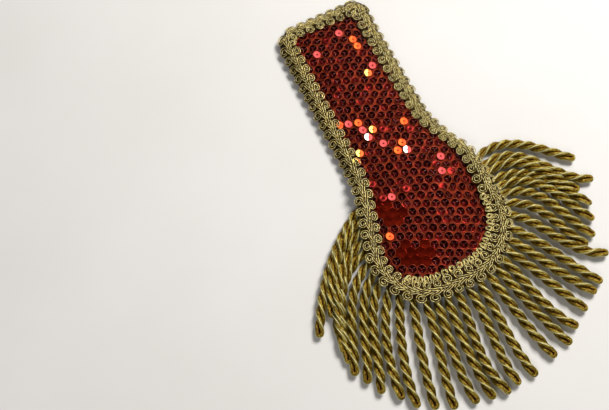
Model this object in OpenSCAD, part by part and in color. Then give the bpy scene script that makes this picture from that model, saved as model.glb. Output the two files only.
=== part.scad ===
// Sequin shoulder epaulette, lying flat on a table, in millimetres.
// The origin is under the middle of the bulb, on the table. The strap points along +Y.

/* [Outline] */
// Left edge of the strap, along the middle of the braid
strap_left = -19.5; // [-21:0.5:-18]
// Right edge of the strap, along the middle of the braid
strap_right = 22.8; // [22:0.1:24]
// End of the strap, along the middle of the braid
strap_end = 121.6; // [110:0.1:130]
// Radius of the bulb's lower left corner
corner_radius = 22; // [20:0.5:24]
// Radius of the bulb's lower right corner
bulb_radius = 29; // [28:0.5:30]
// Radius of the bulb's shoulder on the right
shoulder_radius = 26; // [25:0.5:27]

/* [Padded panel] */
// How far the panel reaches past the middle of the braid along the strap
strap_reach = 3.6; // [3:0.1:4]
// Height of the panel's rolled edge
rim_height = 1.1; // [0.8:0.1:1.5]
// Height that the panel gains within its rolled edge
roll_height = 1.6; // [1:0.1:1.8]
// Height that the padding adds towards the middle
dome_height = 5; // [3:0.1:5.2]

/* [Scroll braid] */
// Widening of both rows of loops beyond their measured reach
loop_widening = 0; // [-0.3:0.1:0.3]
// Depth of the scallops between two loops
scallop = 1.1; // [0:0.1:1.5]
// Number of loops in each row
loop_count = 69; // [40:1:80]

/* [Bullion fringe] */
// Radius of a twisted cord
cord_radius = 2.3; // [2:0.1:2.8]
// Half width of the looped end of a cord
tip_radius = 2.4; // [2:0.1:3]
// Thickness of the heading tape on the panel
tape_top = 4.75; // [4.5:0.05:4.85]

/* [Hidden] */

// Arcs along the middle of the braid, joined by straight lines, from the strap's top left corner
// down the left side. Columns: centre x, centre y, radius, first angle, last angle.
bulb_left = -30.8;
bulb_low = -29;
bulb_middle = 4.5;
left_hollow_radius = 80;
right_hollow_radius = 30;
joined_corner = 7;
mitred_corner = 2;
edge_arcs = [
    [strap_left + joined_corner, strap_end - joined_corner, joined_corner, 90, 180],
    [strap_left - left_hollow_radius, 45, left_hollow_radius, 0, -17],
    [bulb_left + corner_radius, bulb_low + corner_radius, corner_radius, 163, 270],
    [bulb_middle, bulb_low + bulb_radius, bulb_radius, 270, 360],
    [bulb_middle + bulb_radius - shoulder_radius, 21, shoulder_radius, 0, 25],
    [strap_right + right_hollow_radius, 57, right_hollow_radius, 205, 180],
    [strap_right - mitred_corner, strap_end - mitred_corner, mitred_corner, 0, 90]
];
arc_step = 2.5;
edge_points = [
    for (arc = edge_arcs)
        let (turns = max(2, round(abs(arc[4] - arc[3]) * PI / 180 * arc[2] / arc_step)))
        for (i = [0 : turns])
            let (angle = arc[3] + (arc[4] - arc[3]) * i / turns)
            [arc[0] + arc[2] * cos(angle), arc[1] + arc[2] * sin(angle)]
];
edge_count = len(edge_points);

// Distance run along the edge at each of its points, and the whole length
edge_run = [
    for (i = 0, run = 0; i <= edge_count;
         run = run + norm(edge_points[(i + 1) % edge_count] - edge_points[i % edge_count]), i = i + 1)
        run
];
edge_length = edge_run[edge_count];
edge_x = [for (i = [0 : edge_count]) [edge_run[i], edge_points[i % edge_count][0]]];
edge_y = [for (i = [0 : edge_count]) [edge_run[i], edge_points[i % edge_count][1]]];

function on_edge(run) = (run % edge_length + edge_length) % edge_length;
function edge_at(run) = [lookup(on_edge(run), edge_x), lookup(on_edge(run), edge_y)];
function edge_out(run) =
    let (along = edge_at(run + 1.5) - edge_at(run - 1.5))
    [along[1], -along[0]] / norm(along);
function mix(a, b, share) = a + (b - a) * share;
function smooth(t) = let (c = min(1, max(0, t))) c * c * (3 - 2 * c);

// Share of something that holds between two distances along the edge and fades out past them
blend_length = 14;
function share_between(run, start, stop) =
    smooth((run - start + blend_length) / blend_length) * smooth((stop + blend_length - run) / blend_length);

// The fringe is sewn under the braid between these distances
fringe_start = 97;
fringe_stop = 251;
function fringe_share(run) = share_between(run, fringe_start, fringe_stop);

// Outline of the panel, drawn in under the braid where the fringe is sewn on
panel_steps = 128;
panel_outline = [
    for (i = [0 : panel_steps - 1])
        let (run = edge_length * i / panel_steps)
        edge_at(run) + edge_out(run) * strap_reach * (1 - fringe_share(run))
];
panel_low = min([for (p = panel_outline) p[1]]);
panel_high = max([for (p = panel_outline) p[1]]);

// Width of the panel at a height y: where the outline's lines cross it
function crossings(y) = [
    for (i = [0 : panel_steps - 1])
        let (a = panel_outline[i], b = panel_outline[(i + 1) % panel_steps])
        if ((a[1] - y) * (b[1] - y) <= 0 && a[1] != b[1])
            a[0] + (b[0] - a[0]) * (y - a[1]) / (b[1] - a[1])
];
function to_segment(p, a, b) =
    let (share = min(1, max(0, (p - a) * (b - a) / ((b - a) * (b - a)))))
    norm(p - a - (b - a) * share);
function edge_distance(p) = min([
    for (i = [0 : panel_steps - 1]) to_segment(p, panel_outline[i], panel_outline[(i + 1) % panel_steps])
]);

// Shallow hollows in the padding. Columns: x, y, radius, depth.
panel_dents = [
    [-13, 22, 9, 0.5],
    [-4, -8, 10, 0.6],
    [8, 74, 12, 0.4]
];
roll_radius = 1.5;
dome_radius = 14;
function dent_at(p, i = 0) =
    i == len(panel_dents) ? 0 :
    let (d = panel_dents[i], r = norm(p - [d[0], d[1]]) / d[2])
    d[3] * exp(-r * r) + dent_at(p, i + 1);
function panel_top(p) =
    let (d = edge_distance(p))
    rim_height + roll_height * (1 - exp(-d / roll_radius)) + dome_height * (1 - exp(-d / dome_radius))
    - dent_at(p) * smooth(d / 9 - 0.8);

// Faces of a skin through equal rings of points, closed round each ring
function skin_faces(rings, size, closed = false) = concat(
    [
        for (j = [0 : rings - (closed ? 1 : 2)], i = [0 : size - 1])
            let (a = j * size, b = ((j + 1) % rings) * size, k = (i + 1) % size)
            each [[a + i, a + k, b + k], [a + i, b + k, b + i]]
    ],
    closed ? [] : [[for (i = [size - 1 : -1 : 0]) i], [for (i = [0 : size - 1]) (rings - 1) * size + i]]
);

panel_sections = 34;
panel_columns = 11;
floor_cut = 1;
module panel_body() {
    rings = [
        for (j = [0 : panel_sections])
            let (
                y = mix(panel_low + 0.01, panel_high - 0.01, (1 - cos(180 * j / panel_sections)) / 2),
                cross = crossings(y),
                left = min(cross),
                right = max(cross),
                tuck = min(1.2, (right - left) / 4)
            )
            each concat(
                [[left + tuck, y, -floor_cut], [right - tuck, y, -floor_cut]],
                [
                    for (i = [0 : panel_columns])
                        let (x = mix(right, left, (1 - cos(180 * i / panel_columns)) / 2))
                        [x, y, panel_top([x, y])]
                ]
            )
    ];
    polyhedron(rings, skin_faces(panel_sections + 1, panel_columns + 3));
}

// Padded pear-shaped panel with rolled edges, flat where it rests on the table
module sequin_panel() {
    color([0.55, 0.08, 0.06])
    difference() {
        panel_body();
        translate([-60, -60, -10]) cube([120, 240, 10]);
    }
}

// Reach of the two rows of loops from the middle of the braid. The inner loops pile up round the
// bulb's lower end. Columns: distance along the edge, inner reach, outer reach.
loop_reaches = [
    [0, 5, 5],
    [12, 5, 5],
    [30, 4.6, 5.3],
    [98, 4.6, 5.5],
    [112, 4.6, 5.3],
    [138, 5, 5],
    [150, 6.8, 5],
    [165, 8, 5.1],
    [202, 8.2, 5.1],
    [215, 7.4, 5.1],
    [230, 6.4, 5.1],
    [242, 5.2, 4.8],
    [254, 4.3, 4.4],
    [264, 4, 4.5],
    [275, 4.2, 5.6],
    [285, 4.6, 5.9],
    [300, 5.2, 5.5],
    [320, 6, 5.4],
    [335, 7.3, 5.4],
    [346, 7.3, 6.1],
    [354, 6.2, 6.3],
    [362, 5.6, 5.8],
    [385, 5, 5]
];
reach_in = [for (row = loop_reaches) [row[0], row[1]]];
reach_out = [for (row = loop_reaches) [row[0], row[2]]];

// The braid's upper side and its underside. Columns: share of the reach from the inner loops
// at -1 to the outer loops at 1, height along the strap, height over the fringe.
braid_over = [
    [1, 2.6, 6.6],
    [0.3, 5.7, 7.4],
    [-0.3, 6.4, 7.4],
    [-1, 6.5, 6.2]
];
braid_under = [
    [-1, 5.3, 4.95],
    [0, 4.2, 5.15],
    [1, 1.4, 5.4]
];
inner_under = braid_under[0];
sewing_gap = 0.35;
steps_per_loop = 4;

// The braid turns the strap's top right corner in a mitre, in which the inner loops bunch up
mitre_run = edge_length - (strap_right - mitred_corner - strap_left - joined_corner)
    - mitred_corner * PI / 4;
mitre_reach = 8;
mitre_side = mitre_reach + mitred_corner * (1 - PI / 4);
function in_mitre(run, aside) =
    let (past = run - mitre_run, arm = (mitre_side + aside) * pow(abs(past) / mitre_reach, 1.5))
    [strap_right + aside - (past > 0 ? arm : 0), strap_end + aside - (past > 0 ? 0 : arm)];

// A point of the braid at a step along it, on one row of its profile. The inner loops lie on the
// padding wherever it rises past their own height.
function braid_point(run, step, row) =
    let (
        share = fringe_share(run),
        phase = 360 * step / steps_per_loop + (row[0] < 0 ? 180 : 0),
        reach = lookup(run, row[0] < 0 ? reach_in : reach_out) + loop_widening,
        mitred = row[0] == -1 && abs(run - mitre_run) < mitre_reach,
        evened = mitred ? smooth(abs(run - mitre_run) / mitre_reach) : 1,
        depth = scallop * (1 - cos(phase)) / 2 * row[0] * row[0] * evened,
        aside = sign(row[0]) * (abs(row[0]) * reach - depth),
        p = mitred ? in_mitre(run, aside) : edge_at(run) + edge_out(run) * aside,
        padding = row[0] == -1 ? panel_top(p) + sewing_gap : 0,
        lift = max(0, padding - mix(inner_under[1], inner_under[2], share))
    )
    [p[0], p[1], mix(row[1], row[2], share) + lift];

// Gold scroll braid sewn all round the panel, a plaited middle between two rows of curled loops
module scroll_braid() {
    steps = loop_count * steps_per_loop;
    rows = concat(braid_over, braid_under);
    points = [
        for (step = [0 : steps - 1])
            let (run = edge_length * step / steps)
            for (row = rows) braid_point(run, step, row)
    ];
    color([0.62, 0.57, 0.33])
    polyhedron(points, skin_faces(steps, len(rows), closed = true));
}

// Heading tape that the cords hang from, on the panel's edge and down its side.
// Columns: distance out from the middle of the braid, height.
tape_profile = [
    [-1.7, 3.2],
    [0.5, 2],
    [0.5, 0.5],
    [1.7, 0.5],
    [1.7, tape_top],
    [-3.5, tape_top],
    [-3.5, 3.95]
];
module heading_tape() {
    steps = 28;
    points = [
        for (step = [0 : steps])
            let (run = mix(fringe_start + 2, fringe_stop - 2, step / steps))
            for (p = tape_profile)
                let (q = edge_at(run) + edge_out(run) * p[0])
                [q[0], q[1], p[1]]
    ];
    polyhedron(points, skin_faces(steps + 1, len(tape_profile)));
}

// Cords of the fringe from the left side round to the right. Columns: distance along the edge where
// the cord leaves, x and y of its tip, sideways bow at one third and two thirds of its way, lift.
fringe_cords = [
    [102, -68.5, -22.5, -4.5, -4.5, 0.5],
    [107, -59.5, -17, -5, -5, 2.5],
    [113, -60.5, -25.5, -7, -6, 0],
    [118.5, -62, -33.5, -8, -6.5, 1.5],
    [124, -62, -38.5, -8.5, -6.5, 0],
    [129, -62, -44.5, -6, -4, 1],
    [134, -58.5, -50, -4.5, -2.5, 0],
    [138.5, -55, -56.5, -4, -2.5, 0],
    [143, -48.5, -62.5, -3.5, -3.5, 0],
    [148, -44, -68.5, -2, -2.5, 0],
    [153.5, -37, -72.5, -0.5, -1, 0],
    [158.5, -29.5, -76, 1, 0, 0],
    [163.5, -20, -78, -0.5, -1.5, 0],
    [168.5, -12.5, -79.5, -1, -1.5, 0],
    [173.5, -5.5, -80.5, -1, -3, 0],
    [178.5, 0.5, -79, 1, -0.5, 0],
    [184.5, 9, -79, 0, -1, 0],
    [190, 21, -75.5, -0.5, -1, 0],
    [195, 30, -73.5, -0.5, -1, 0],
    [199.5, 36.5, -68.5, -0.5, -2, 0],
    [204, 44.5, -63.5, 0.5, 0, 0],
    [208.5, 52.5, -58.5, 0.5, -0.5, 0],
    [214, 57.5, -55.5, 1.5, 0.5, 0],
    [219, 67, -45.5, 1.5, -2, 0],
    [223.5, 61, -37.5, 6, 3.5, 1],
    [227.5, 66.5, -35, 9, 5.5, 0],
    [231, 70.5, -28, 9.5, 6.5, 1],
    [235, 73.5, -21, 9, 6.5, 0],
    [239, 72, -12.5, 9, 6, 1.5],
    [243, 80.5, -11, 9, 3.5, 0],
    [248, 78.5, 2, 8.5, 6, 0]
];

// Rings along a cord. Towards its tip the strand turns back in a small loop, past the last twist.
// Columns: share of its length, share of its radius, extra height at the braid and at the rounded tip.
loop_share = tip_radius / cord_radius;
cord_rings = [
    [0, 0.68, 1.6],
    [0.09, 0.88, 0.6],
    [0.18, 1, 0],
    [0.38, 1, 0],
    [0.58, 1, 0],
    [0.78, 1, 0],
    [0.9, 0.94, 0],
    [0.955, loop_share, 0],
    [1, 0.92 * loop_share, 0],
    [1.025, 0.5 * loop_share, 0.6]
];
cord_sides = 8;
flat_share = cos(180 / cord_sides);

// Lifted cords keep a hair off the floor at their ends, so that no two undersides that meet are level
lift_at_ends = 0.04;

// Sideways bow of a cord at a share of its way, through its two named bows
function bow_at(t, near, far) = 13.5 * t * (1 - t) * (near * (2 / 3 - t) + far * (t - 1 / 3));
function cord_middle(cord, t) =
    let (
        head = edge_at(cord[0]) + edge_out(cord[0]),
        way = [cord[1], cord[2]] - head,
        side = [-way[1], way[0]] / norm(way),
        p = head + way * t + side * bow_at(t, cord[3], cord[4]),
        raised = mix(smooth(t * 3) * smooth((1 - t) * 2.5), 1, lift_at_ends)
    )
    [p[0], p[1], cord_radius * flat_share + cord[5] * raised];

module twisted_cord(cord) {
    points = [
        for (ring = cord_rings)
            let (
                middle = cord_middle(cord, ring[0]),
                along = cord_middle(cord, ring[0] + 0.02) - cord_middle(cord, ring[0] - 0.02),
                side = [along[1], -along[0], 0] / norm([along[0], along[1]]),
                radius = cord_radius * ring[1]
            )
            for (i = [0 : cord_sides - 1])
                let (angle = 360 * (i + 0.5) / cord_sides + 90)
                middle + side * radius * cos(angle) + [0, 0, radius * sin(angle) + ring[2]]
                - [0, 0, (cord_radius - radius) * flat_share]
    ];
    polyhedron(points, skin_faces(len(cord_rings), cord_sides));
}

// Fringe of twisted gold cords with looped ends, fused to their heading tape
module bullion_fringe() {
    color([0.60, 0.50, 0.14])
    union() {
        heading_tape();
        for (cord = fringe_cords) twisted_cord(cord);
    }
}

sequin_panel();
scroll_braid();
bullion_fringe();
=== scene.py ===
"""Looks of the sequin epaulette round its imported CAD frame: sequins, scroll braid and fringe."""
import math

import bmesh
import bpy
import numpy as np
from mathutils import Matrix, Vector


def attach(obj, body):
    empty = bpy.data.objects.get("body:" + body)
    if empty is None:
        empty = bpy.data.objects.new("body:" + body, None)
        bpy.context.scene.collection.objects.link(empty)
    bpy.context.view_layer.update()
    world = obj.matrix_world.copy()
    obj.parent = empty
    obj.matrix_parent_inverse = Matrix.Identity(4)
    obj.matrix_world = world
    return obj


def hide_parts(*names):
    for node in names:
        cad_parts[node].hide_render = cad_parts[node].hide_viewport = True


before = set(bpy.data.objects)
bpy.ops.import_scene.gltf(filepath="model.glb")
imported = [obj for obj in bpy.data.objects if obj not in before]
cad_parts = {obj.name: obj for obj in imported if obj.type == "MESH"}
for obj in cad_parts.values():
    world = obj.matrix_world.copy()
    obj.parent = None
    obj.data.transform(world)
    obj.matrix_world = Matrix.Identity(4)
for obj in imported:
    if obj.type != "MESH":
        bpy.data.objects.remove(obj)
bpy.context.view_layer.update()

MM = 0.001
TAU = 2 * math.pi
rng = np.random.default_rng(41)

# Camera

AIM = Vector((-47.836, 36.475, 0)) * MM
CAMERA_AT = Vector((-106.949, -86.902, 375.877)) * MM
PICTURE_RIGHT = np.array((0.902, -0.432))
PICTURE_UP = np.array((0.432, 0.902))
KEY_FROM = np.array((0.55, 0.27, 0.79))  # direction of the key light

camera_data = bpy.data.cameras.new("camera")
camera_data.sensor_width = 36
camera_data.lens = 49.66
camera = bpy.data.objects.new("camera", camera_data)
camera.location = CAMERA_AT
camera.rotation_euler = (AIM - CAMERA_AT).to_track_quat("-Z", "Y").to_euler()
bpy.context.scene.collection.objects.link(camera)
bpy.context.scene.camera = camera

# Outline of the braid's middle and of the panel, as in the CAD source, in mm

STRAP_LEFT, STRAP_RIGHT, STRAP_END = -19.5, 22.8, 121.6
BULB_LEFT, BULB_LOW, BULB_MIDDLE, BULB_RADIUS = -30.8, -29, 4.5, 29
CORNER_RADIUS, SHOULDER_RADIUS = 22, 26
JOINED_CORNER, MITRED_CORNER = 7, 2
LEFT_HOLLOW, RIGHT_HOLLOW = 80, 30  # radii of the hollow curves between strap and bulb
ARCS = (  # centre x, centre y, radius, first angle, last angle
    (STRAP_LEFT + JOINED_CORNER, STRAP_END - JOINED_CORNER, JOINED_CORNER, 90, 180),
    (STRAP_LEFT - LEFT_HOLLOW, 45, LEFT_HOLLOW, 0, -17),
    (BULB_LEFT + CORNER_RADIUS, BULB_LOW + CORNER_RADIUS, CORNER_RADIUS, 163, 270),
    (BULB_MIDDLE, BULB_LOW + BULB_RADIUS, BULB_RADIUS, 270, 360),
    (BULB_MIDDLE + BULB_RADIUS - SHOULDER_RADIUS, 21, SHOULDER_RADIUS, 0, 25),
    (STRAP_RIGHT + RIGHT_HOLLOW, 57, RIGHT_HOLLOW, 205, 180),
    (STRAP_RIGHT - MITRED_CORNER, STRAP_END - MITRED_CORNER, MITRED_CORNER, 0, 90),
)


def edge_points(step=0.8):
    """Points along the arcs, a step apart. Straight stretches join one arc to the next."""
    points = []
    for cx, cy, r, first, last in ARCS:
        turns = max(4, round(abs(last - first) * math.pi / 180 * r / step))
        for i in range(turns + 1):
            a = math.radians(first + (last - first) * i / turns)
            points.append((cx + r * math.cos(a), cy + r * math.sin(a)))
    return np.array(points)


EDGE = edge_points()
EDGE_LENGTHS = np.linalg.norm(np.roll(EDGE, -1, 0) - EDGE, axis=1)
EDGE_RUN = np.concatenate(([0], np.cumsum(EDGE_LENGTHS)[:-1]))
EDGE_LENGTH = float(EDGE_LENGTHS.sum())
FRINGE_START, FRINGE_STOP = 97, 251  # the fringe's stretch, as distances along the edge
BLEND = 14  # the stretch over which the edge changes from strap to fringe


def edge_at(run):
    """Points at distances along the edge."""
    run = np.asarray(run, float)
    return np.stack([np.interp(run, EDGE_RUN, EDGE[:, i], period=EDGE_LENGTH) for i in (0, 1)], -1)


def unit(v):
    return v / np.maximum(np.linalg.norm(v, axis=-1, keepdims=True), 1e-9)


def edge_out(run):
    """Directions away from the panel at distances along the edge."""
    run, near = np.asarray(run), 1.5
    along = unit(edge_at(run + near) - edge_at(run - near))
    return np.stack((along[..., 1], -along[..., 0]), -1)


def smooth(t):
    t = np.clip(t, 0, 1)
    return t * t * (3 - 2 * t)


def fringe_share(run):
    """1 where the edge carries the fringe, 0 along the strap."""
    run = np.asarray(run) % EDGE_LENGTH
    begun, left = run - FRINGE_START + BLEND, FRINGE_STOP + BLEND - run
    return smooth(begun / BLEND) * smooth(left / BLEND)


LOOP_REACHES = np.array((  # distance along the edge, inner reach, outer reach
    (0, 5, 5), (12, 5, 5), (30, 4.6, 5.3), (98, 4.6, 5.5), (112, 4.6, 5.3), (138, 5, 5), (150, 6.8, 5),
    (165, 8, 5.1), (202, 8.2, 5.1), (215, 7.4, 5.1), (230, 6.4, 5.1), (242, 5.2, 4.8), (254, 4.3, 4.4),
    (264, 4, 4.5), (275, 4.2, 5.6), (285, 4.6, 5.9), (300, 5.2, 5.5), (320, 6, 5.4), (335, 7.3, 5.4),
    (346, 7.3, 6.1), (354, 6.2, 6.3), (362, 5.6, 5.8), (385, 5, 5),
))


def reach(run, side):
    """How far the braid reaches from its middle, outwards for side 1 and inwards for side -1."""
    column = 2 if side > 0 else 1
    return np.interp(np.asarray(run) % EDGE_LENGTH, LOOP_REACHES[:, 0], LOOP_REACHES[:, column])


STRAP_REACH = 3.6
OUTLINE_STEPS = 256
OUTLINE_RUN = np.arange(OUTLINE_STEPS) * EDGE_LENGTH / OUTLINE_STEPS
PAST_BRAID = STRAP_REACH * (1 - fringe_share(OUTLINE_RUN))
OUTLINE = edge_at(OUTLINE_RUN) + edge_out(OUTLINE_RUN) * PAST_BRAID[:, None]
RIM_HEIGHT, ROLL_HEIGHT, DOME_HEIGHT = 1.1, 1.6, 5
ROLL_WIDTH, DOME_WIDTH = 1.5, 14
DENTS = ((-13, 22, 9, 0.5), (-4, -8, 10, 0.6), (8, 74, 12, 0.4))  # x, y, radius, depth


def to_outline(p):
    """Distance of each point to the panel's outline."""
    a = OUTLINE
    ab = np.roll(OUTLINE, -1, 0) - a
    ap = p[:, None, :] - a[None]
    t = np.clip((ap * ab).sum(-1) / (ab * ab).sum(-1), 0, 1)
    return np.linalg.norm(ap - ab * t[..., None], axis=-1).min(1)


def inside(p):
    """Whether each point lies within the panel's outline."""
    a, b = OUTLINE, np.roll(OUTLINE, -1, 0)
    y = p[:, 1, None]
    cross = (a[:, 1] > y) != (b[:, 1] > y)
    with np.errstate(divide="ignore", invalid="ignore"):
        x = a[:, 0] + (b[:, 0] - a[:, 0]) * (y - a[:, 1]) / (b[:, 1] - a[:, 1])
    return (cross & (p[:, 0, None] < x)).sum(1) % 2 == 1


def panel_top(p):
    """Height of the padded panel: a rolled edge, a dome and a few shallow dents."""
    p = np.asarray(p, float).reshape(-1, 2)
    d = to_outline(p)
    dent = sum(h * np.exp(-((p[:, 0] - x) ** 2 + (p[:, 1] - y) ** 2) / r ** 2) for x, y, r, h in DENTS)
    roll = ROLL_HEIGHT * (1 - np.exp(-d / ROLL_WIDTH))
    dome = DOME_HEIGHT * (1 - np.exp(-d / DOME_WIDTH))
    return RIM_HEIGHT + roll + dome - dent * smooth(d / 9 - 0.8)


# Meshes

def add_object(name, points, corners, starts, notes, materials, ids=None, shade_smooth=True):
    """One object from points in mm, faces as a run of corners and notes on the points."""
    data = bpy.data.meshes.new(name)
    data.vertices.add(len(points))
    data.vertices.foreach_set("co", (points * MM).ravel().astype(np.float32))
    data.loops.add(len(corners))
    data.loops.foreach_set("vertex_index", corners.astype(np.int32))
    data.polygons.add(len(starts))
    data.polygons.foreach_set("loop_start", starts.astype(np.int32))
    data.polygons.foreach_set("use_smooth", np.full(len(starts), shade_smooth))
    if ids is not None:
        data.polygons.foreach_set("material_index", np.asarray(ids, np.int32))
    for note, values in notes.items():
        layer = data.attributes.new(note, "FLOAT_VECTOR", "POINT")
        layer.data.foreach_set("vector", values.astype(np.float32).ravel())
    data.update(calc_edges=True)
    for material in materials:
        data.materials.append(material)
    piece = bpy.data.objects.new(name, data)
    bpy.context.scene.collection.objects.link(piece)
    return piece


class Gathered:
    """Quads, triangles and notes on the points, gathered in mm and made into one object."""

    def __init__(self):
        self.points = []
        self.quads = []
        self.triangles = []
        self.notes = {}
        self.count = 0

    def add(self, points, quads, triangles=(), **notes):
        points = np.asarray(points, float).reshape(-1, 3)
        self.points.append(points)
        self.quads.append(np.asarray(quads, int).reshape(-1, 4) + self.count)
        self.triangles.append(np.asarray(triangles, int).reshape(-1, 3) + self.count)
        for name, values in notes.items():
            self.notes.setdefault(name, []).append(np.broadcast_to(values, points.shape))
        self.count += len(points)

    def make(self, name, materials, ids=None, shade_smooth=True):
        quads = np.concatenate(self.quads)
        triangles = np.concatenate(self.triangles)
        corners = np.concatenate((quads.ravel(), triangles.ravel()))
        quad_starts = np.arange(len(quads)) * 4
        triangle_starts = len(quads) * 4 + np.arange(len(triangles)) * 3
        starts = np.concatenate((quad_starts, triangle_starts))
        notes = {note: np.concatenate(parts) for note, parts in self.notes.items()}
        points = np.concatenate(self.points)
        return add_object(name, points, corners, starts, notes, materials, ids, shade_smooth)


def ring_quads(rings, size, closed=False):
    """Faces of a skin through equal rings of points."""
    j, i = np.meshgrid(np.arange(rings if closed else rings - 1), np.arange(size), indexing="ij")
    k = (i + 1) % size
    b = (j + 1) % rings
    return np.stack((j * size + i, j * size + k, b * size + k, b * size + i), -1).reshape(-1, 4)


def upright(path):
    """Directions away from the floor for a strand that lies on it, turned aside where it climbs."""
    along = unit(np.gradient(path, axis=0))
    up = np.tile((0.0, 0.0, 1.0), (len(path), 1))
    up[np.abs(along[:, 2]) > 0.9] = (0.3, 1, 0)
    return up


def add_skin(gathered, rings, run, size, thread):
    """A closed skin through rings of points that know their distance along it and place round it.

    The note on the thread holds nearness to the outermost yarn, height on a yarn, and how far the
    point lies from the cord's middle, where its plies meet: masks for a painted highlight on the
    highest yarn and for painted shade in the grooves and where the plies meet.
    """
    n, sides = rings.shape[:2]
    i = np.arange(sides)
    k = (i + 1) % sides
    a = i * TAU / sides
    start = 100 * rng.random()
    strand = np.stack(np.broadcast_arrays(run[:, None] + start, np.cos(a) * size, np.sin(a) * size), -1)
    thread = np.broadcast_to(thread, rings.shape)
    ends = rings[[0, -1]].mean(1)
    caps = np.concatenate((
        np.stack((np.full(sides, n * sides), k, i), -1),
        np.stack((np.full(sides, n * sides + 1), (n - 1) * sides + i, (n - 1) * sides + k), -1),
    ))
    gathered.add(
        np.concatenate((rings.reshape(-1, 3), ends)), ring_quads(n, sides), caps,
        strand=np.concatenate((strand.reshape(-1, 3), strand[0, :1], strand[-1, :1])),
        thread=np.concatenate((thread.reshape(-1, 3), thread[0, :1], thread[-1, :1])),
    )


def distances(path):
    """Distance of each point along a path."""
    return np.concatenate(([0], np.cumsum(np.linalg.norm(np.diff(path, axis=0), axis=1))))


def round_thread(sides):
    """Note on the thread of a plain strand: a painted highlight along its upper side, painted shade
    along its edges and underside.
    """
    up = np.cos(np.arange(sides) * TAU / sides)
    # painted highlight along the top, painted shade towards the underside
    return np.stack((np.clip(2 * up - 1, 0, 1), np.ones(sides), np.clip(0.3 + 0.7 * up, 0, 1)), -1)


def add_strand(gathered, path, radius, sides):
    """A plain round strand along a path."""
    path = np.asarray(path, float)
    along = unit(np.gradient(path, axis=0))
    side = unit(np.cross(along, upright(path)))
    top = np.cross(side, along)
    a = (np.arange(sides) * TAU / sides)[:, None]
    rings = path[:, None] + radius * (np.cos(a) * top[:, None] - np.sin(a) * side[:, None])
    add_skin(gathered, rings, distances(path), radius, round_thread(sides))


def resample(points, count):
    """A path's points, evenly spaced as seen from above."""
    points = np.asarray(points, float)
    run = distances(points[:, :2])
    t = np.linspace(0, run[-1], count)
    return np.stack([np.interp(t, run, points[:, i]) for i in range(points.shape[1])], -1)


def curve(points, count):
    """A smooth curve through points, evenly spaced."""
    p = np.asarray(points, float)
    p = np.concatenate((2 * p[:1] - p[1:2], p, 2 * p[-1:] - p[-2:-1]))
    t = np.linspace(0, 1, 9)[:-1, None]
    out = []
    for a, b, c, d in zip(p, p[1:], p[2:], p[3:]):
        out.append(0.5 * (2 * b + (c - a) * t + (2 * a - 5 * b + 4 * c - d) * t ** 2
                          + (3 * b - a - 3 * c + d) * t ** 3))
    out.append(p[-2:-1])
    return resample(np.concatenate(out), count)


# Materials

class Shader:
    """A material with a Principled shader and short calls for the nodes that feed it."""

    def __init__(self, name, **values):
        self.material = bpy.data.materials.new(name)
        self.material.use_nodes = True
        self.tree = self.material.node_tree
        self.shader = self.tree.nodes["Principled BSDF"]
        for key, value in values.items():
            self.shader.inputs[key.replace("_", " ")].default_value = value

    def put(self, n, key, value):
        if isinstance(value, bpy.types.NodeSocket):
            self.tree.links.new(value, n.inputs[key])
        else:
            n.inputs[key].default_value = value

    def node(self, kind, inputs=(), **settings):
        n = self.tree.nodes.new(kind)
        for key, value in settings.items():
            setattr(n, key, value)
        for key, value in dict(inputs).items():
            self.put(n, key, value)
        return n

    def note(self, name):
        return self.node("ShaderNodeAttribute", attribute_name=name).outputs["Vector"]

    def parts(self, vector):
        n = self.node("ShaderNodeSeparateXYZ", {"Vector": vector})
        return n.outputs["X"], n.outputs["Y"], n.outputs["Z"]

    def position(self):
        return self.node("ShaderNodeTexCoord").outputs["Object"]

    def mapped(self, vector, scale):
        return self.node("ShaderNodeMapping", {"Vector": vector, "Scale": scale}).outputs["Vector"]

    def noise(self, vector, scale, detail=2.0, roughness=0.5):
        inputs = {"Vector": vector, "Scale": scale, "Detail": detail, "Roughness": roughness}
        return self.node("ShaderNodeTexNoise", inputs).outputs["Fac"]

    def ramp(self, value, *stops):
        n = self.node("ShaderNodeValToRGB", {"Fac": value})
        while len(n.color_ramp.elements) < len(stops):
            n.color_ramp.elements.new(0.5)
        for element, (place, colour) in zip(n.color_ramp.elements, stops):
            element.position = place
            element.color = (*colour, 1)
        return n.outputs["Color"]

    def mix(self, share, a, b, blend="MIX"):
        n = self.node("ShaderNodeMix", data_type="RGBA", blend_type=blend)
        for key, value in ((0, share), (6, a), (7, b)):
            self.put(n, key, value)
        return n.outputs[2]

    def bump(self, height, strength, distance, normal=None):
        inputs = {"Height": height, "Strength": strength, "Distance": distance}
        if normal is not None:
            inputs["Normal"] = normal
        return self.node("ShaderNodeBump", inputs).outputs["Normal"]

    def feed(self, name, socket):
        self.tree.links.new(socket, self.shader.inputs[name])


def grey(value):
    return (value, value, value)


STREAKS, GLINTS, WRAPS = (0.7, 3.0, 3.0), (0.8, 0.5, 0.5), (2.2, 0.8, 0.8)  # noise scale along and across
# metal and roughness where the crest carries its painted highlight
CREST_METAL, CREST_ROUGHNESS = 0.2, 0.3


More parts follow.
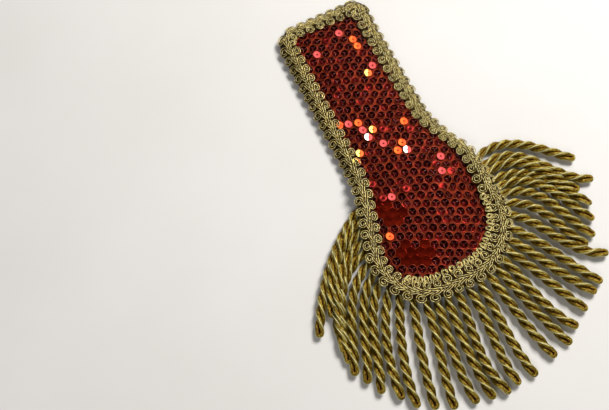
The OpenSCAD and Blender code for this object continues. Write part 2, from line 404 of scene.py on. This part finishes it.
def metal_thread(name, low, middle, light, painted_highlight_colour, roughness, metal, between):
    """Metal-wrapped thread: painted shade between its yarns and where plies meet, and a painted
    highlight on the highest yarn.

    The painted highlight on the crest keeps only the share called between where it has no glint.
    """
    s = Shader(name)
    strand = s.note("strand")
    crest, ridge, openness = s.parts(s.note("thread"))
    streaks = s.noise(s.mapped(strand, STREAKS), 1.0, 3.0, 0.62)
    glints = s.noise(s.mapped(strand, GLINTS), 1.0, 2.0, 0.6)
    # painted highlight: the crest's share, whole at the painted glints, cut to the share between elsewhere
    shine = s.mix(1.0, crest, s.ramp(glints, (0.4, grey(between)), (0.56, grey(1.0))), "MULTIPLY")
    tone = s.mix(shine, s.ramp(streaks, (0.34, low), (0.5, middle), (0.66, light)), (*painted_highlight_colour, 1))
    # painted shade in the grooves between yarns and where the plies meet
    painted_groove_shade = s.ramp(ridge, (0.0, grey(0.2)), (0.7, grey(1.0)))
    painted_meeting_shade = s.ramp(openness, (0.1, (0.05, 0.03, 0.015)), (0.3, (0.8, 0.55, 0.3)), (0.7, grey(1.0)))
    drift = s.ramp(s.noise(s.position(), 160.0, 2.0), (0.3, grey(0.75)), (0.7, grey(1.0)))
    wraps = s.noise(s.mapped(strand, WRAPS), 1.0, 2.0, 0.6)
    turns = s.ramp(wraps, (0.32, grey(0.65)), (0.5, grey(1.0)))
    for shade in (painted_groove_shade, painted_meeting_shade, drift, turns):
        tone = s.mix(1.0, tone, shade, "MULTIPLY")
    s.feed("Base Color", tone)
    s.feed("Metallic", s.mix(shine, (*grey(metal), 1), (*grey(CREST_METAL), 1)))
    s.feed("Roughness", s.mix(shine, (*grey(roughness), 1), (*grey(CREST_ROUGHNESS), 1)))
    s.feed("Normal", s.bump(wraps, 0.8, 0.0003, s.bump(streaks, 0.9, 0.00025)))
    return s.material


def foil():
    """Red sequin foil, its tone given for each sequin."""
    s = Shader("sequin_foil", Metallic=1.0, Roughness=0.2)
    clouds = s.ramp(s.noise(s.position(), 900.0, 2.0), (0.3, grey(0.55)), (0.75, grey(1.0)))
    s.feed("Base Color", s.mix(1.0, s.note("foil"), clouds, "MULTIPLY"))
    s.feed("Normal", s.bump(s.noise(s.position(), 1300.0, 2.0), 0.12, 0.00005))
    return s.material


def shimmer_cloth():
    """Orange-red woven satin: fine warp and weft, slightly metallic."""
    s = Shader("shimmer_cloth", Metallic=0.85, Roughness=0.5)
    place = s.position()
    tone = s.noise(place, 240.0, 3.0)
    low, middle, light = (0.11, 0.009, 0.002), (0.26, 0.026, 0.005), (0.44, 0.06, 0.012)
    s.feed("Base Color", s.ramp(tone, (0.3, low), (0.6, middle), (0.8, light)))
    weave = None
    threads = {"Vector": place, "Scale": 1400.0, "Distortion": 0.6}
    for direction in ("Y", "X"):
        wave = s.node("ShaderNodeTexWave", threads, bands_direction=direction)
        weave = s.bump(wave.outputs["Fac"], 0.4, 0.0001, weave)
    s.feed("Normal", weave)
    return s.material


def backing_and_shade_cloth():
    """Plain dull weave of the panel's underside; on the turned edge under the braid it is painted shade."""
    s = Shader("backing_and_shade_cloth", Roughness=0.95)
    place = s.position()
    weave = s.noise(s.mapped(place, (1, 1, 0.2)), 1900.0, 2.0)
    tone = s.mix(0.4, weave, s.noise(place, 120.0))
    s.feed("Base Color", s.ramp(tone, (0.3, (0.05, 0.01, 0.008)), (0.7, (0.12, 0.02, 0.015))))
    s.feed("Normal", s.bump(weave, 0.8, 0.0003))
    return s.material


def clear_thread():
    """Fine shiny red-tinted thread that holds each sequin, with painted glints in pale patches."""
    s = Shader("clear_thread", Roughness=0.22, Metallic=0.5)
    tone = s.noise(s.position(), 1500.0)
    s.feed("Base Color", s.ramp(tone, (0.46, (0.1, 0.01, 0.006)), (0.62, (0.75, 0.4, 0.42))))
    return s.material


def sequin_rim_glow():
    """Thin edge of a sequin, bright in the colour of the lit cloth as a painted glow."""
    s = Shader("sequin_rim_glow", Roughness=0.4, Metallic=0.5)
    tone = s.noise(s.position(), 700.0)
    s.feed("Base Color", s.ramp(tone, (0.35, (0.15, 0.01, 0.003)), (0.7, (0.5, 0.08, 0.02))))
    return s.material


def pale_floor():
    """Plain matt floor with a faint drift of tone."""
    s = Shader("pale_floor", Roughness=0.75)
    tone = s.noise(s.position(), 12.0, 3.0)
    s.feed("Base Color", s.ramp(tone, (0.2, (0.76, 0.75, 0.73)), (0.8, (0.82, 0.81, 0.8))))
    return s.material


# the crest colours below are painted highlights
CORD_GOLD = metal_thread(
    "cord_gold", low=(0.09, 0.045, 0.002), middle=(0.36, 0.24, 0.015), light=(1.0, 0.8, 0.15),
    painted_highlight_colour=(1.0, 0.95, 0.46), roughness=0.4, metal=0.85, between=0.85)
BRAID_GOLD = metal_thread(
    "braid_gold", low=(0.08, 0.036, 0.002), middle=(0.52, 0.32, 0.02), light=(1.0, 0.8, 0.17),
    painted_highlight_colour=(1.0, 0.94, 0.48), roughness=0.25, metal=0.85, between=0.2)
# near-black gold of the braid's ground and the tape under it, painted as shade
SHADED_CORE_GOLD = metal_thread(
    "shaded_core_gold", low=(0.02, 0.009, 0.001), middle=(0.035, 0.018, 0.003), light=(0.06, 0.033, 0.007),
    painted_highlight_colour=(0.1, 0.08, 0.02), roughness=0.6, metal=0.85, between=1.0)
FOIL = foil()
CLOTH = shimmer_cloth()
BACKING_AND_SHADE = backing_and_shade_cloth()
THREAD = clear_thread()
RIM_GLOW = sequin_rim_glow()

# Padded panel


def crossings(y):
    """Left and right end of the panel at one height in plan."""
    a, b = OUTLINE, np.roll(OUTLINE, -1, 0)
    hit = (a[:, 1] - y) * (b[:, 1] - y) <= 0
    hit &= a[:, 1] != b[:, 1]
    x = a[hit, 0] + (b[hit, 0] - a[hit, 0]) * (y - a[hit, 1]) / (b[hit, 1] - a[hit, 1])
    return x.min(), x.max()


def close_ends(piece):
    """Closes the open ends of a skin and turns its faces outwards."""
    bm = bmesh.new()
    bm.from_mesh(piece.data)
    bmesh.ops.holes_fill(bm, edges=[e for e in bm.edges if e.is_boundary])
    bmesh.ops.recalc_face_normals(bm, faces=bm.faces)
    bm.to_mesh(piece.data)
    bm.free()


SHADED_TURNED_EDGE = 3.2  # width of the rim under the braid that shows the backing cloth, dark there as painted shade
TUCK, TUCK_HEIGHT, TUCK_INSET = 0.6, 0.45, 0.1  # how the underside rounds into the rim


def padded_panel():
    rows, columns = 150, 58
    low, high = OUTLINE[:, 1].min() + 0.01, OUTLINE[:, 1].max() - 0.01
    rings = []
    for j in range(rows + 1):
        y = low + (high - low) * (1 - math.cos(math.pi * j / rows)) / 2
        left, right = crossings(y)
        x = left + (right - left) * (1 - np.cos(np.pi * np.arange(columns + 1) / columns)) / 2
        row = np.stack((x, np.full_like(x, y)), -1)
        top = np.concatenate((row, panel_top(row)[:, None]), -1)
        tuck = min(TUCK, (right - left) / 4)
        under = (
            (left + TUCK_INSET, y, TUCK_HEIGHT), (left + tuck, y, 0.0),
            (right - tuck, y, 0.0), (right - TUCK_INSET, y, TUCK_HEIGHT),
        )
        rings.append(np.concatenate((top[::-1], under)))
    points = np.concatenate(rings)
    quads = ring_quads(rows + 1, len(rings[0]))[:, ::-1]
    middles = points[quads].mean(1)
    # faces near the outline get the dark backing as painted shade, the underside its own backing
    ids = (to_outline(middles[:, :2]) < SHADED_TURNED_EDGE) | (middles[:, 2] < 0.3)
    mesh = Gathered()
    mesh.add(points, quads)
    piece = mesh.make("padded_sequin_cloth", (CLOTH, BACKING_AND_SHADE), ids=ids)
    close_ends(piece)
    return piece


cloth = padded_panel()
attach(cloth, "root")
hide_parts("sequin_panel")

# Sequins

SEQUIN_PITCH, SEQUIN_ROWS = 4.5, 3.9  # distance along a row and between rows
# Where row 0 lies, how far the rows drift aside as they go up, and how much each slopes
ROW_START, ROW_DRIFT, ROW_SLOPE = -9.3, 0.038, 0.06
SEQUIN_HEIGHT, LIT_RISE = 0.4, 0.35  # height above the cloth, and how much higher a lit one lies
SEQUIN_SHIFT, SEQUIN_TILT = 0.1, 0.05  # spread of the places in mm and of the facing directions
LEAST_GLANCE = 0.29  # how far an unlit sequin faces from the glancing direction
EDGE_MARGIN = 1.2
CLOSE_FOIL, DARK_FOIL = np.array((0.7, 0.04, 0.014)), np.array((0.26, 0.012, 0.01))
PALE_SHARE = 0.25
STITCH_TURNS = (-90, 30, 150)
STITCH_PROFILE = ((0.3, -0.05), (0.6, 0.14), (1.0, 0.14), (1.5, 0.06))  # distance from the middle, height
STITCH_RADIUS = 0.08
FOILS = {  # foil colour, colour of its bright side as a painted highlight, and how far it leans from the glancing direction
    "pink": ((0.062, 0.008, 0.0075), (0.085, 0.011, 0.0105), 0.0),
    "orange": ((0.13, 0.012, 0.003), (0.13, 0.02, 0.004), 0.0),
    "yellow": ((0.13, 0.02, 0.005), (0.2, 0.17, 0.03), 0.0),
    "white": ((0.11, 0.012, 0.011), (0.5, 0.5, 0.47), 0.0),
    "dim": ((0.2, 0.014, 0.012), (0.2, 0.014, 0.012), 0.12),
}
LIT = (  # x, y and foil of the sequins that catch the light
    (12, 102, "orange"), (9.5, 85.5, "yellow"), (-13.5, 64.5, "orange"), (-5.5, 61, "orange"),
    (8, 41.5, "orange"), (4, 41, "orange"), (15, 52.5, "orange"), (-15.5, 45.5, "yellow"),
    (-15.5, 32.5, "dim"), (-4, 23, "dim"), (-18.5, 3.5, "orange"), (-1, 55, "yellow"),
    (-8.5, 102.5, "pink"), (-0.5, 109.5, "dim"), (7.5, 109, "pink"), (13.5, 88, "pink"),
    (-9.5, 62.5, "pink"), (-5.5, 57, "pink"), (0, 47, "pink"), (16, 48.5, "dim"), (22, 29.5, "pink"),
    (17.5, 21.5, "pink"), (-15.5, 23.5, "dim"), (-12, 21.5, "pink"), (3, 54, "dim"),
    (-5.5, 52.5, "white"), (9, 38.5, "white"),
)
SMOOTH_PATCHES = (  # x, y and radius where sequins lie close and flat
    (-16.5, 15.5, 4.5), (-13, 12, 4), (-16.5, -8, 5.5), (-10.5, -10.5, 5))


def panel_normals(p):
    """Directions at right angles to the panel's top."""
    e = 0.4
    gx = (panel_top(p + (e, 0)) - panel_top(p - (e, 0))) / (2 * e)
    gy = (panel_top(p + (0, e)) - panel_top(p - (0, e))) / (2 * e)
    return unit(np.stack((-gx, -gy, np.ones_like(gx)), -1))


def sequin_places():
    """Middles of the sequins, in offset rows that follow the picture's directions."""
    places = []
    for j in range(-10, 36):
        up = ROW_START + SEQUIN_ROWS * j
        lean = 1.0 - ROW_DRIFT * (up - ROW_START)
        slope = ROW_SLOPE * float(smooth((up + 10) / 40))
        for i in range(-16, 16):
            right = SEQUIN_PITCH * (i + (j % 2) / 2) + lean
            places.append(PICTURE_RIGHT * right + PICTURE_UP * (up + slope * (right + 14)))
    places = np.array(places)
    keep = inside(places) & (to_outline(places) > EDGE_MARGIN)
    return places[keep]


def glance(place):
    """The direction that a flat shiny disc has to face to send the key light to the camera."""
    eye = np.array(CAMERA_AT) / MM - place
    return unit(unit(eye) + unit(KEY_FROM))


def sequin_foil(place):
    """The foil of a sequin that catches the light, or None for a dark one."""
    near = 0.58 * SEQUIN_PITCH / 2 ** 0.5 + 0.6
    for x, y, name in LIT:
        if math.hypot(place[0] - x, place[1] - y) < near:
            return FOILS[name]
    return None


def add_disc(discs, middle, normal, profile, colour, bright=None):
    """A flat shiny ring with painted shade towards the top of the picture, and a painted highlight on
    its bright side to the left.
    """
    sides = 20
    a = np.arange(sides) * TAU / sides
    x = unit(np.array((*PICTURE_RIGHT, 0.0)) - normal * (PICTURE_RIGHT @ normal[:2]))
    y = np.cross(normal, x)
    round_it = np.cos(a)[:, None] * x + np.sin(a)[:, None] * y
    rings = [middle + r * round_it + normal * h for r, h in profile]
    # painted shade towards the picture's top, or a painted highlight on the left side
    if bright is None:
        shade = (0.8 - 0.3 * np.sin(a))[:, None] * colour
    else:
        shade = np.where(np.cos(a)[:, None] < -0.2, bright, colour)
    foil = np.tile(shade, (len(profile), 1))
    discs.add(np.concatenate(rings), ring_quads(len(rings), sides)[:, ::-1], foil=foil)
    return x, y


# Profiles of a sequin from its hole to its rim: distance from the middle, height
DARK_PROFILE = (
    (0.42, -0.12), (0.5, 0.033), (0.56, 0.04), (1.9, 0.04), (1.95, 0.05), (2.07, 0.13), (2.12, -0.03))
LIT_PROFILE = ((0.34, -0.1), (0.38, 0), (0.44, 0.01), (1.9, 0.01), (2.0, 0), (2.06, -0.1), (2.06, -0.2))
CLOSE_PROFILE = ((0.02, 0), (0.1, 0), (0.3, 0), (2.54, 0), (2.57, 0), (2.59, -0.02), (2.6, -0.25))
DISC_BANDS = len(DARK_PROFILE) - 1
RIM_BAND = 4  # first band of a dark sequin's rim with its painted glow


def sequins():
    """All sequins and the three threads that hold each dark one."""
    places = sequin_places()
    places += rng.normal(0, SEQUIN_SHIFT, places.shape)
    discs = Gathered()
    stitches = Gathered()
    rims = []
    for p, z, n in zip(places, panel_top(places), panel_normals(places)):
        at = np.array((*p, z + SEQUIN_HEIGHT))
        shine = glance(at)
        lit = sequin_foil(p)
        flat = any(math.hypot(p[0] - x, p[1] - y) < r for x, y, r in SMOOTH_PATCHES)
        n = unit(n + rng.normal(0, SEQUIN_TILT, 3) * (1, 1, 0))
        away = n - shine
        apart = np.linalg.norm(away)
        if apart < LEAST_GLANCE:
            n = unit(n + away * (LEAST_GLANCE - apart) / max(apart, 0.03))
        if flat:
            add_disc(discs, at, n, CLOSE_PROFILE, CLOSE_FOIL * rng.uniform(0.7, 1.1))
            rims.append(False)
            continue
        if lit:
            colour, bright, lean = lit
            n = unit(shine + np.array((-lean, lean, 0)))
            at[2] += LIT_RISE
            add_disc(discs, at, n, LIT_PROFILE, np.array(colour), np.array(bright))
            rims.append(False)
            continue
        pale = rng.random() < PALE_SHARE
        colour = DARK_FOIL * (rng.uniform(1.0, 2.2) if pale else rng.uniform(0.3, 0.9))
        x, y = add_disc(discs, at, n, DARK_PROFILE, colour)
        rims.append(True)
        for turn in STITCH_TURNS:
            angle = math.radians(turn + rng.normal(0, 9))
            way = math.cos(angle) * x + math.sin(angle) * y
            path = [at + way * r + n * h for r, h in STITCH_PROFILE]
            add_strand(stitches, path, STITCH_RADIUS, 4)
    sides = len(discs.quads[0]) // DISC_BANDS
    band = np.arange(len(discs.quads[0])) // sides >= RIM_BAND
    ids = np.concatenate([band & rim for rim in rims])
    cups = discs.make("cup_sequins", (FOIL, RIM_GLOW), ids=ids)
    return cups, stitches.make("sequin_stitches", (THREAD,))


for piece in sequins():
    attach(piece, "root")

# Scroll braid

BRAID_ROWS = (  # share of the reach, height of the braid's top along the strap and along the fringe
    (1, 2.6, 6.6), (0.3, 5.7, 7.4), (-0.3, 6.4, 7.4), (-1, 6.5, 6.2))
REST_FROM, REST_HEIGHT = -2.5, 1.3  # inwards of this the braid lies at least this far above the panel
LOOPS = 69
LOOP_PITCH = EDGE_LENGTH / LOOPS
OUTER_PHASE, INNER_PHASE = 0.25, 0.75  # where the loops of each row stand, as a share of the pitch
STRAND_RADIUS, STRAND_OFFSET = 0.24, 0.45
LOOP_WIDTH, LOOP_NEAR, LOOP_FAR = 1.85, 1.35, 5.6
LOOP_SINK = 0.35  # how deep a strand's middle lies below the braid's top
SCROLL_STEPS, SCROLL_TURN, SCROLL_TIGHTENING = 12, 36, 0.64
HOOP_START, HOOP_STOP, HOOP_PITCH = 146, 238, 3.8
HOOP_REACH = 6.2  # hoops stand only where the inner row reaches further than this
HOOP_OFFSET, HOOP_LIFT, HOOP_THICKENING = 0.27, 0.15, 1.1
# the braid's ground: a dark sheet under the loops, painted as shade
GROUND_SHARES = (-1, -0.6, -0.25, 0.25, 0.6, 1)
GROUND_INSET, GROUND_SCALLOP, GROUND_DEPTH, GROUND_THICKNESS = 0.75, 0.55, 1.05, 0.4
OUTER_STROKE = (  # distance ahead in loops, distance aside in mm, height in mm
    (0.95, -0.1, -0.9), (0.8, 0.1, 0.1), (0.6, 0.45, 0.5), (0.35, 0.95, 0.5), (0.08, 1.5, 0.35))
INNER_STROKE = (
    (1.25, 0.0, -1.0), (1.0, 0.1, -0.1), (0.7, 0.3, 0.45), (0.4, 0.6, 0.5), (0.1, 1.05, 0.4))
HOOP_STROKE = (  # distance ahead, distance back from the braid's rim, height, in mm
    (-0.9, 3.9, -0.5), (-1.15, 2.6, 0.15), (-1.05, 1.2, 0.4), (-0.6, 0.55, 0.25), (0, 0.35, 0.1),
    (0.6, 0.55, 0.25), (1.05, 1.2, 0.4), (1.0, 2.2, 0.15), (0.3, 2.7, -0.1), (-0.3, 2.2, -0.3),
)


def braid_surface(run, aside):
    """Points on the upper side of the braid at distances along the edge and out from its middle."""
    run, aside = np.broadcast_arrays(np.asarray(run, float), np.asarray(aside, float))
    p = edge_at(run) + edge_out(run) * aside[..., None]
    share = fringe_share(run)
    part = aside / np.where(aside > 0, reach(run, 1), reach(run, -1))
    shares, strap, fringe = np.array(BRAID_ROWS)[::-1].T
    z = np.interp(part, shares, strap) * (1 - share) + np.interp(part, shares, fringe) * share
    rest = panel_top(p.reshape(-1, 2)).reshape(z.shape) + REST_HEIGHT
    z = np.where(aside < REST_FROM, np.maximum(z, rest), z)
    return np.concatenate((p, z[..., None]), -1)


def scroll_path(side, far):
    """Route of one loop in its own plane: along the braid, away from its middle, height."""
    middle, tall = (LOOP_NEAR + far) / 2, (far - LOOP_NEAR) / 2
    width = LOOP_WIDTH * rng.uniform(0.94, 1.05)
    stroke = OUTER_STROKE if side > 0 else INNER_STROKE
    points = [(u * LOOP_PITCH, v, z) for u, v, z in stroke]
    for i in range(1, SCROLL_STEPS):
        angle = math.radians(-90 - i * SCROLL_TURN)
        past = max(0.0, (i - 4) / 7)
        shrink = 1 - SCROLL_TIGHTENING * past
        u = math.cos(angle) * width * shrink
        points.append((u, middle + math.sin(angle) * tall * shrink - 0.1 * past, 0.1 - 0.2 * past))
    return curve(points, 44)


def hoop_path(far):
    """Route of one small standing loop at the inner rim of the braid round the bulb."""
    return curve([(u, far - back, z) for u, back, z in HOOP_STROKE], 26)


def beside(path, offset):
    """The same route a little to its side."""
    along = unit(np.gradient(path[:, :2], axis=0))
    out = path.copy()
    out[:, 0] -= along[:, 1] * offset
    out[:, 1] += along[:, 0] * offset
    return out


def lay(path, run, side, lift=0.0):
    """A flat route laid on the braid at a distance along the edge, on one side of its middle."""
    p = braid_surface(run + path[:, 0], path[:, 1] * side)
    p[:, 2] += path[:, 2] - LOOP_SINK + lift
    return p


def row_phase(side):
    return OUTER_PHASE if side > 0 else INNER_PHASE


def loop_row(side):
    """One row of curled loops, each of two strands side by side."""
    strands = Gathered()
    for loop in range(LOOPS):
        run = LOOP_PITCH * (loop + row_phase(side))
        far = min(float(reach(run, side)), LOOP_FAR) - STRAND_OFFSET - STRAND_RADIUS + 0.05
        route = scroll_path(side, far)
        lift = rng.uniform(-0.05, 0.05)
        for offset in (-STRAND_OFFSET, STRAND_OFFSET):
            add_strand(strands, lay(beside(route, offset), run, side, lift), STRAND_RADIUS, 6)
    return strands


def hoop_row(strands):
    """Small standing loops between the inner row and the panel, round the bulb."""
    run = HOOP_START
    while run < HOOP_STOP:
        far = float(reach(run, -1))
        if far > HOOP_REACH:
            route = hoop_path(far)
            for offset in (-HOOP_OFFSET, HOOP_OFFSET):
                path = lay(beside(route, offset), run, -1, HOOP_LIFT)
                add_strand(strands, path, STRAND_RADIUS * HOOP_THICKENING, 6)
        run += HOOP_PITCH * rng.uniform(0.92, 1.08)


def braid_ground_shade():
    """The dull closed middle of the braid, which fills its loops, near black as painted shade."""
    steps = LOOPS * 8
    run = np.arange(steps) * EDGE_LENGTH / steps
    rings = []
    for share in GROUND_SHARES:
        side = 1 if share > 0 else -1
        phase = TAU * (run / LOOP_PITCH - row_phase(side))
        far = reach(run, side) - GROUND_INSET - GROUND_SCALLOP * (1 - np.cos(phase)) * (abs(share) == 1)
        rings.append(braid_surface(run, share * far) - (0, 0, GROUND_DEPTH))
    rings += [ring - (0, 0, GROUND_THICKNESS) for ring in rings[::-1]]
    points = np.stack(rings, 1)
    size = points.shape[1]
    strand = np.stack(np.broadcast_arrays(run[:, None], points[..., 0], points[..., 1]), -1)
    quads = ring_quads(steps, size, closed=True)
    ground = Gathered()
    ground.add(points, quads, strand=strand.reshape(-1, 3), thread=(0, 1, 0.5))
    return ground.make("braid_ground_shade", (SHADED_CORE_GOLD,))


outer_loops = loop_row(1).make("outer_loops", (BRAID_GOLD,))
inner_strands = loop_row(-1)
hoop_row(inner_strands)
inner_loops = inner_strands.make("inner_loops", (BRAID_GOLD,))
for piece in (outer_loops, inner_loops, braid_ground_shade()):
    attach(piece, "root")
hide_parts("scroll_braid")

# Bullion fringe

CORDS = (  # distance along the edge, x and y of the last twist, bows at one and two thirds of the way, lift
    (102, -68.5, -22.5, -4.5, -4.5, 0.5), (107, -59.5, -17, -5, -5, 2.5), (113, -60.5, -25.5, -7, -6, 0),
    (118.5, -62, -33.5, -8, -6.5, 1.5), (124, -62, -38.5, -8.5, -6.5, 0), (129, -62, -44.5, -6, -4, 1),
    (134, -58.5, -50, -4.5, -2.5, 0), (138.5, -55, -56.5, -4, -2.5, 0),
    (143, -48.5, -62.5, -3.5, -3.5, 0), (148, -44, -68.5, -2, -2.5, 0), (153.5, -37, -72.5, -0.5, -1, 0),
    (158.5, -29.5, -76, 1, 0, 0), (163.5, -20, -78, -0.5, -1.5, 0), (168.5, -12.5, -79.5, -1, -1.5, 0),
    (173.5, -5.5, -80.5, -1, -3, 0), (178.5, 0.5, -79, 1, -0.5, 0), (184.5, 9, -79, 0, -1, 0),
    (190, 21, -75.5, -0.5, -1, 0), (195, 30, -73.5, -0.5, -1, 0), (199.5, 36.5, -68.5, -0.5, -2, 0),
    (204, 44.5, -63.5, 0.5, 0, 0), (208.5, 52.5, -58.5, 0.5, -0.5, 0), (214, 57.5, -55.5, 1.5, 0.5, 0),
    (219, 67, -45.5, 1.5, -2, 0), (223.5, 61, -37.5, 6, 3.5, 1), (227.5, 66.5, -35, 9, 5.5, 0),
    (231, 70.5, -28, 9.5, 6.5, 1), (235, 73.5, -21, 9, 6.5, 0), (239, 72, -12.5, 9, 6, 1.5),
    (243, 80.5, -11, 9, 3.5, 0), (248, 78.5, 2, 8.5, 6, 0),
)
BOW = 13.5  # makes the table's bows the sideways distances at one and two thirds of the way
CORD_RADIUS, TWIST = 2.3, 19  # radius, and length of one whole turn
PLY_MIDDLE = 1.24  # distance of a ply's middle from the cord's
PLY_HIGH, PLY_WIDE = 1.08, 1.07  # half height and half width of a ply
PLY_ARC = math.radians(165)  # how far its yarns go round it on each side of the highest one
YARNS, YARN_SIDES, YARN_DEPTH, CREST_HEIGHT = 9, 4, 0.2, 0.1
LOOP_LENGTH, LOOP_OPENING = 3.6, -0.32
LOOP_BENDS = 9
TIP_SLACK = 2.2  # over this length the twist stops towards the tip
THIRD_TAPER = 0.6  # how much of its thickness the third ply loses at the tip
ROOT_SIZE, ROOT_LENGTH = 0.7, 9  # share of the thickness at the tape, and where it is full
ROOT_RISE, ROOT_SLOPE = 1.5, 7  # how much higher a cord starts, and where it is down
RING_STEP = 0.9


def cord_middle(cord, t):
    """Middle line of a cord at shares t of its way from the tape to its tip."""
    run, x, y, near, far, lift = cord
    head = edge_at(run) + edge_out(run)
    way = np.array((x, y)) - head
    side = np.array((-way[1], way[0])) / np.linalg.norm(way)
    bow = BOW * t * (1 - t) * (near * (2 / 3 - t) + far * (t - 1 / 3))
    p = head + way * t[:, None] + side * bow[:, None]
    z = CORD_RADIUS + CREST_HEIGHT + lift * smooth(t * 3) * smooth((1 - t) * 2.5)
    return np.concatenate((p, z[:, None]), -1)


def ply_section():
    """Outline of a ply across the cord, measured from the cord's middle, and the note on its thread:
    its masks for painted highlight and painted shade.
    """
    count = YARNS * YARN_SIDES
    i = np.arange(count + 1)
    a = PLY_ARC * (1 - 2 * i / count)
    ridge = 0.5 - 0.5 * np.cos(i / YARN_SIDES * TAU)
    # crest: the highest yarn, raised a little and given a painted highlight
    crest = np.clip(1.3 - np.abs(i - count / 2) / YARN_SIDES * 1.6, 0, 1)
    swell = CREST_HEIGHT * crest - YARN_DEPTH * (1 - ridge)
    x = (PLY_WIDE + swell) * np.sin(a)
    y = PLY_MIDDLE + (PLY_HIGH + swell) * np.cos(a)
    # openness: low near the cord's middle where the plies meet, for painted shade there
    openness = np.clip((np.hypot(x, y) - 1) / 1.3, 0, 1)
    return np.stack((x, y)), np.stack((crest, ridge, openness), -1)


PLY_OUTLINE, PLY_THREAD = ply_section()


def add_ply(strands, middle, away, across, size, opening, shown):
    """A ply on the side of the cord's middle that away points to. Shown scales the note on its thread:
    at 0 the ply is painted wholly in shade.
    """
    x, y = PLY_OUTLINE[:, None, :, None]
    rings = middle[:, None] + size[:, None, None] * (
        across[:, None] * x + away[:, None] * (y + opening[:, None, None]))
    run = distances(middle + away * PLY_MIDDLE)
    add_skin(strands, rings, run, PLY_HIGH, PLY_THREAD * shown[:, None, None])


def twisted_cord(strands, cord):
    """Three plies wound round each other. Two are one strand that turns back in a loop at the tip."""
    length = float(distances(cord_middle(cord, np.linspace(0, 1, 30)))[-1])
    t = np.linspace(0, 1, round(length / RING_STEP))
    middle = cord_middle(cord, t)
    run = length * t
    along = unit(np.gradient(middle, axis=0))
    side = unit(np.cross(along, (0, 0, 1.0)))
    top = np.cross(side, along)
    left = length - run
    pitch = TWIST * rng.uniform(0.95, 1.06)
    wound = left - TIP_SLACK * (1 - np.exp(-left / TIP_SLACK))
    turn = rng.uniform(-0.45, 0.45) - TAU / pitch * wound
    size = ROOT_SIZE + (1 - ROOT_SIZE) * smooth(run / ROOT_LENGTH)
    looped = 1 - smooth(left / LOOP_LENGTH)
    middle[:, 2] += ROOT_RISE * (1 - smooth(run / ROOT_SLOPE)) - 0.9 * CORD_RADIUS * (1 - size)

    def away_at(angle):
        return np.cos(angle)[:, None] * side + np.sin(angle)[:, None] * top

    spread = (1 - looped) * math.pi / 6
    down, up = away_at(turn + spread), away_at(turn + math.pi - spread)
    third = away_at(turn - math.pi / 2)
    shown = np.ones(len(t))
    f = (np.arange(1, LOOP_BENDS) / LOOP_BENDS * math.pi)[:, None]
    bend = np.cos(f) * down[-1] + np.sin(f) * along[-1]
    across = np.cross(down, along)
    last = np.ones(LOOP_BENDS - 1)
    add_ply(
        strands,
        np.concatenate((middle, last[:, None] * middle[-1], middle[::-1])),
        np.concatenate((down, bend, up[::-1])),
        np.concatenate((across, last[:, None] * across[-1], -np.cross(up, along)[::-1])),
        np.concatenate((size, last * size[-1], size[::-1])),
        LOOP_OPENING * np.concatenate((looped, last, looped[::-1])),
        np.concatenate((shown, last, shown)),
    )
    tapered = size * (1 - THIRD_TAPER * looped)
    # inside the loop at the tip the third ply fades into painted shade
    add_ply(strands, middle, third, np.cross(third, along), tapered, 0 * looped, shown - looped)


# Distance out from the braid's middle and height, round the tape's section
TAPE_PROFILE = ((-1.7, 3.2), (0.5, 2), (0.5, 0.5), (1.7, 0.5), (1.7, 4.7), (-3.5, 4.7), (-3.5, 3.95))
TAPE_MARGIN = 2


def heading_tape():
    """The tape that carries the cords, on the panel's edge and down its side."""
    steps = 150
    rings = []
    for step in range(steps + 1):
        run = FRINGE_START + TAPE_MARGIN + (FRINGE_STOP - FRINGE_START - 2 * TAPE_MARGIN) * step / steps
        rings += [(*(edge_at(run) + edge_out(run) * aside), z) for aside, z in TAPE_PROFILE]
    mesh = Gathered()
    mesh.add(rings, ring_quads(steps + 1, len(TAPE_PROFILE)))
    piece = mesh.make("fringe_tape", (SHADED_CORE_GOLD,), shade_smooth=False)
    close_ends(piece)
    return piece


def fringe():
    """The cords in three objects, each small enough for the limit on one object's triangles."""
    pieces = []
    for name, part in (("left", CORDS[:11]), ("middle", CORDS[11:21]), ("right", CORDS[21:])):
        strands = Gathered()
        for cord in part:
            twisted_cord(strands, cord)
        pieces.append(strands.make("fringe_cords_" + name, (CORD_GOLD,)))
    return pieces


cord_pieces = fringe()
for piece in (*cord_pieces, heading_tape()):
    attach(piece, "root")
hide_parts("bullion_fringe")

# Floor and light


FLOOR_HALF, FLOOR_DROP = 2.5, 0.0001  # in metres
STUDIO_WHITE = (1.0, 0.99, 0.97)
WORLD_STRENGTH = 0.14


def floor():
    data = bpy.data.meshes.new("floor")
    corners = [(x * FLOOR_HALF, y * FLOOR_HALF, 0) for x, y in ((-1, -1), (1, -1), (1, 1), (-1, 1))]
    data.from_pydata(corners, [], [(0, 1, 2, 3)])
    data.materials.append(pale_floor())
    piece = bpy.data.objects.new("floor", data)
    piece.location.z = -FLOOR_DROP
    bpy.context.scene.collection.objects.link(piece)


def area_light(name, direction, distance, size, power, colour):
    """A square light, seen from the part in one direction."""
    data = bpy.data.lights.new(name, "AREA")
    data.size = size
    data.energy = power
    data.color = colour
    lamp = bpy.data.objects.new(name, data)
    target = Vector((0, 0.03, 0))
    lamp.location = target + Vector(direction).normalized() * distance
    lamp.rotation_euler = (target - lamp.location).to_track_quat("-Z", "Y").to_euler()
    bpy.context.scene.collection.objects.link(lamp)


floor()
area_light("key", KEY_FROM, 0.9, 0.35, 9.5, (1.0, 0.97, 0.93))
area_light("fill", (-0.5, -0.5, 0.7), 1.0, 0.4, 1.6, STUDIO_WHITE)

world = bpy.data.worlds.new("studio")
world.use_nodes = True
background = world.node_tree.nodes["Background"]
background.inputs["Color"].default_value = (*STUDIO_WHITE, 1)
background.inputs["Strength"].default_value = WORLD_STRENGTH
bpy.context.scene.world = world
bpy.context.scene.view_settings.view_transform = "Standard"
